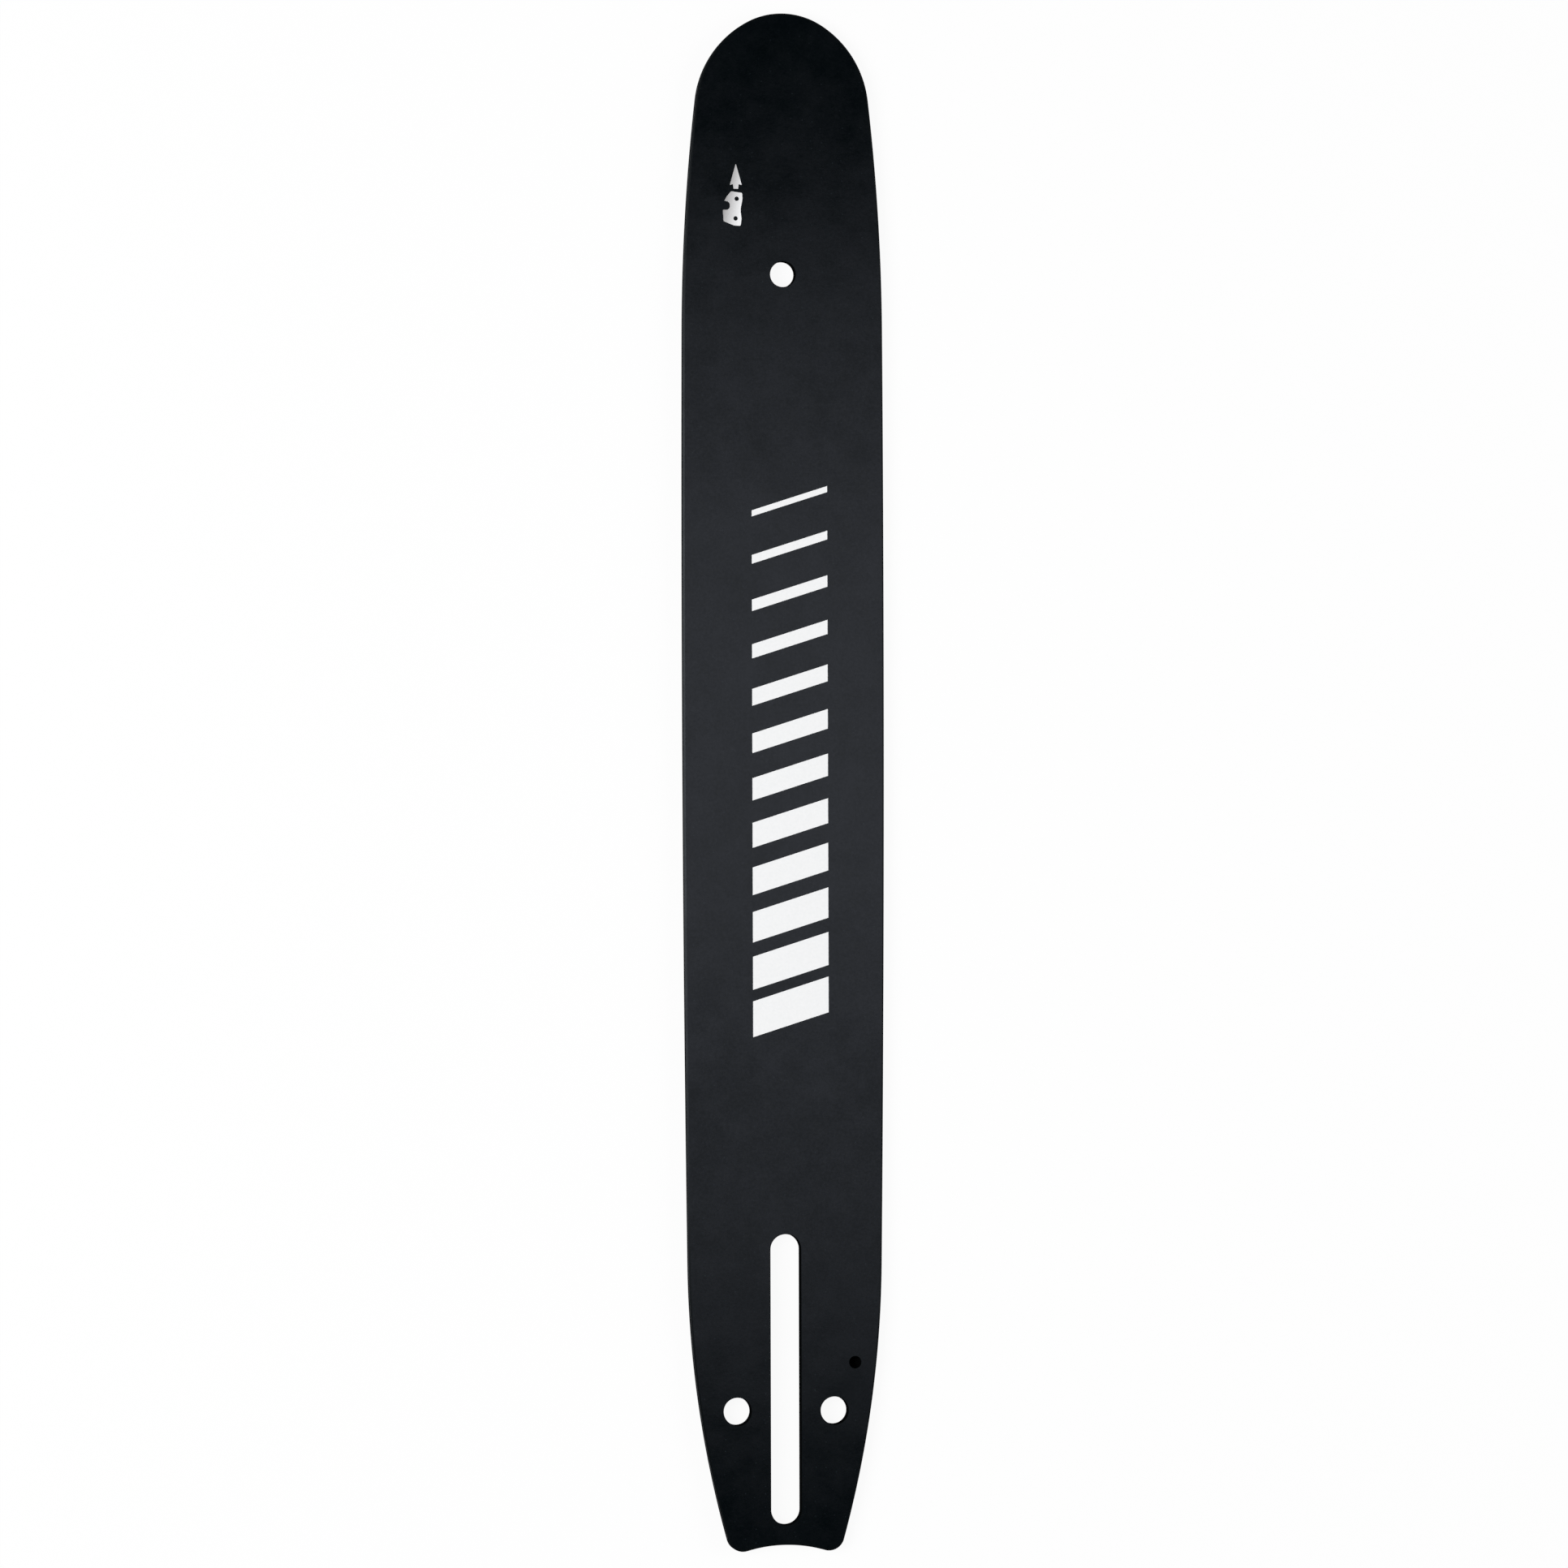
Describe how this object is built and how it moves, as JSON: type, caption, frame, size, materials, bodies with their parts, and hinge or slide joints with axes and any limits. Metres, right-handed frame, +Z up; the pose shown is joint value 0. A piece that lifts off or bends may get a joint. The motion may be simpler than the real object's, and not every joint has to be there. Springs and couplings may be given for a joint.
{
  "type": "chainsaw guide bar",
  "caption": "Flat black steel chainsaw guide bar with a chain groove round its rim, a stud slot and tensioner holes at the tail and a hanging hole behind its plain round nose.",
  "frame": {"origin": "on the lower face, at the middle of the bar's length and width", "axes": "+Z up through the thickness as the bar lies on its face, +Y along the bar to the nose, +X to the right seen from above"},
  "size_m": [0.06, 0.455, 0.0042],
  "materials": {
    "bar_enamel": "satin black baked enamel over steel, with a fine orange-peel texture"
  },
  "bodies": {
    "root": {"guide_bar": "bar_enamel"}
  },
  "joints": []
}
